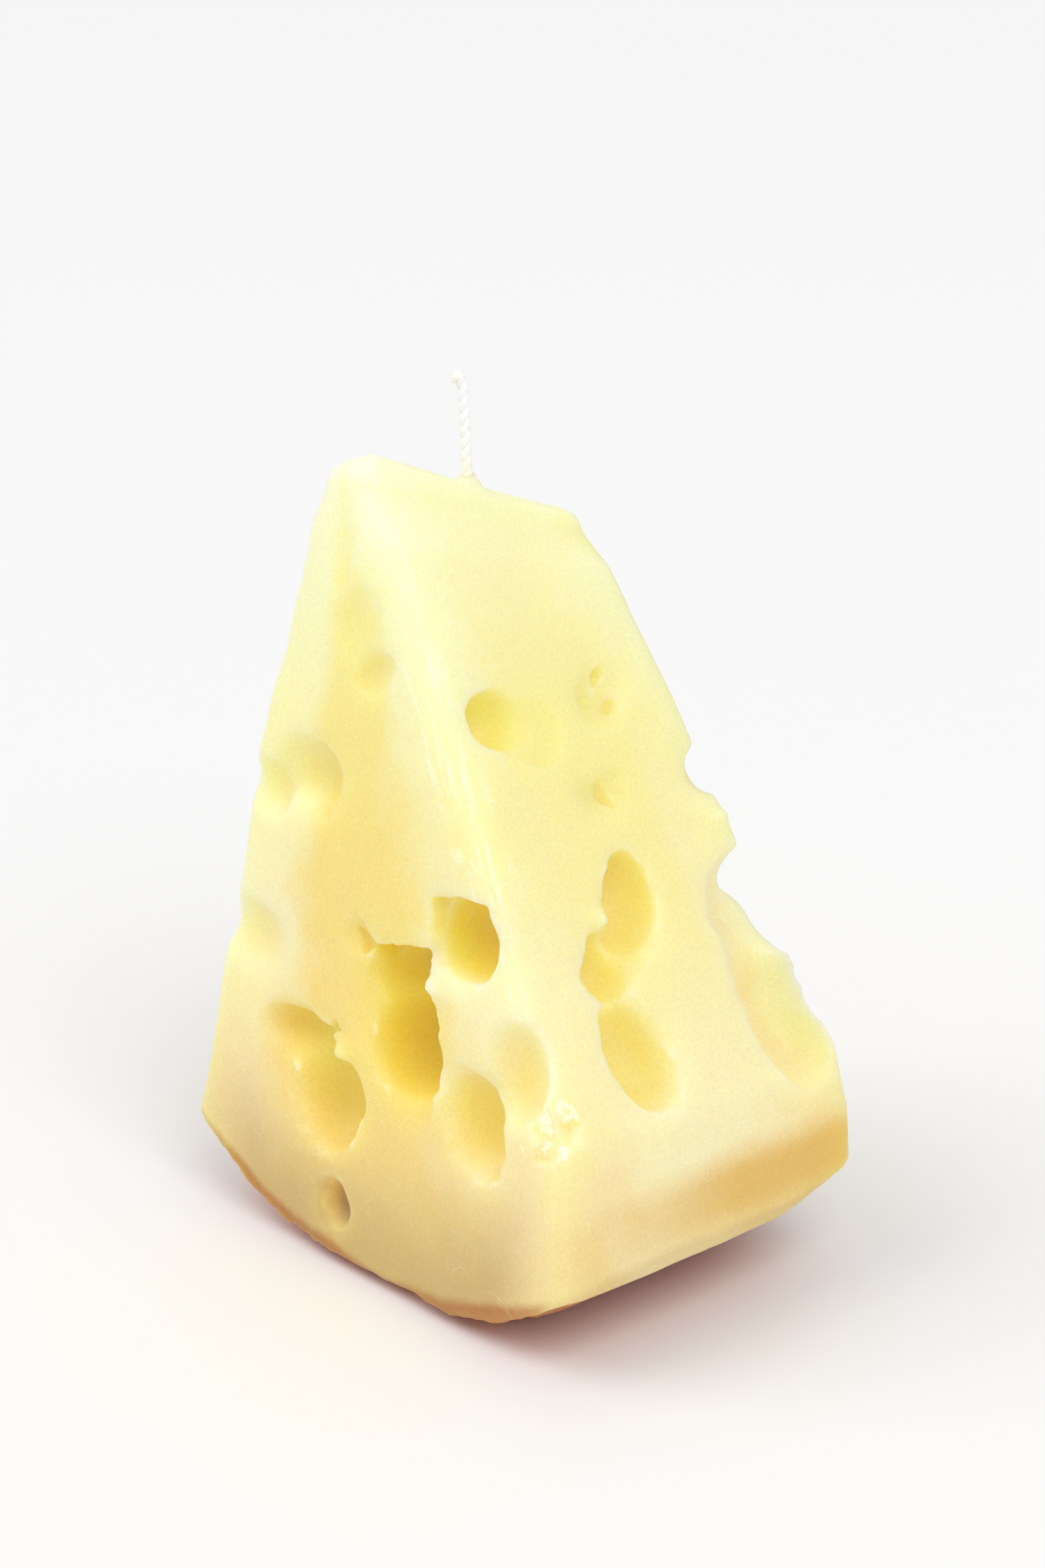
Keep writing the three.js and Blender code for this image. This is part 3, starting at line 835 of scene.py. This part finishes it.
def makeStrand(index):
    bpy.ops.curve.primitive_nurbs_path_add()
    strand = bpy.context.object
    curve = strand.data
    curve.splines.clear()
    steps = wickShape["steps"]
    spline = curve.splines.new("NURBS")
    spline.points.add(steps)
    bearing = math.radians(wickShape["bearing"])
    sideA = Vector((-math.sin(bearing), math.cos(bearing), 0))
    sideB = Vector((math.cos(bearing), math.sin(bearing), 0))
    rise = wickShape["rise"]
    reach = sum(math.dist(a, b) for a, b in zip(rise, rise[1:])) + wickShape["buried"]
    wide, thick = (wickShape["spread"] * share for share in wickShape["flatness"])
    for step in range(steps + 1):
        part = step / steps
        turn = 2 * math.pi * (part * reach / wickShape["turnLength"] + index / 3)
        place = wickPath(part) + sideA * wide * math.sin(turn) + sideB * thick * math.sin(2 * turn)
        spline.points[step].co = (*(place * mm), 1)
        fraying = max(0, part - wickShape["frayFrom"]) / (1 - wickShape["frayFrom"])
        spline.points[step].radius = 1 + wickShape["frayed"] * fraying
    spline.order_u = 4
    spline.use_endpoint_u = True
    curve.dimensions = "3D"
    curve.resolution_u = 3
    curve.bevel_depth = wickShape["strand"] * mm
    curve.bevel_resolution = 3
    curve.use_fill_caps = True
    pick(strand)
    bpy.ops.object.convert(target="MESH")
    return bpy.context.object


def wickMaterial():
    material = newMaterial("waxedCotton")
    tree = material.node_tree
    height = addNode(tree, "SeparateXYZ", {0: objectPlace(tree)}).outputs[2]
    foot = wickShape["foot"][2]
    clean = rangeNode(tree, height, *((foot + rise) * mm for rise in wickShape["waxed"]))
    fibre = addNode(tree, "TexWave", {
        "Vector": objectPlace(tree), "Scale": 900.0, "Distortion": 6.0, "Detail": 2.0, "Detail Scale": 2.0,
    }, wave_type="BANDS", bands_direction="DIAGONAL").outputs["Fac"]
    colour = mixColour(tree, clean, paint(255, 252, 234), paint(255, 255, 255))
    tip = rangeNode(tree, height, *((foot + rise) * mm for rise in wickShape["tipTint"]))
    colour = mixColour(tree, product(tree, tip, 0.25), colour, paint(250, 230, 200))
    colour = mixColour(tree, product(tree, fibre, 0.05), colour, paint(248, 246, 238))
    colour, grain = grained(tree, colour, 0.25, 0.06)
    bump = addNode(tree, "Bump", {
        "Height": mathNode(tree, "ADD", fibre, grain), "Strength": 0.6, "Distance": 0.05 * mm,
    })
    return finish(material, addNode(tree, "BsdfPrincipled", {
        "Base Color": colour,
        "Roughness": 0.8,
        "Normal": bump.outputs[0],
        "Sheen Weight": 0.2,
    }))


def makeWick():
    strands = []
    for index in range(3):
        deselectAll()
        strands.append(makeStrand(index))
    wick = strands[0]
    joinInto(wick, strands[1:])
    wick.name = "wickBraid"
    settle(wick)
    bpy.ops.object.shade_smooth()
    wick.data.materials.clear()
    wick.data.materials.append(wickMaterial())
    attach(wick, "root")
    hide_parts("wick")


collarShape = {"foot": 2.4, "top": 0.9, "height": 2.6, "rise": 0.1}


def addCollar(wax):  # wax drawn up around the wick, which also closes the socket
    x, y, z = wickShape["foot"]
    deselectAll()
    bpy.ops.mesh.primitive_cone_add(
        vertices=24, radius1=collarShape["foot"] * mm, radius2=collarShape["top"] * mm,
        depth=collarShape["height"] * mm, location=metres((x, y, z + collarShape["rise"])),
    )
    collar = bpy.context.object
    settle(collar)
    addModifier(wax, "BOOLEAN", object=collar, operation="UNION", solver="MANIFOLD")
    applyModifiers(wax)
    deselectAll()
    bpy.data.objects.remove(collar)


def makeWax():
    wax = copyOfNode("wax_wedge", "waxBlock")
    skin = tightSkin(wax)
    carve(wax, skin, hollows)
    carve(wax, skin, lumps, "UNION")
    addCollar(wax)
    newSkin(wax)
    roundRims(wax)
    carve(wax, skin, nicks)
    newSkin(wax)
    roughen(wax)
    thin(wax)
    flattenFoot(wax)
    measureSkin(wax)
    pick(wax)
    bpy.ops.object.shade_smooth()
    wax.data.materials.clear()
    wax.data.materials.append(waxMaterial())
    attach(wax, "root")
    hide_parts("wax_wedge")


makeWax()
print("wax block made")
makeWick()
print("wick made")
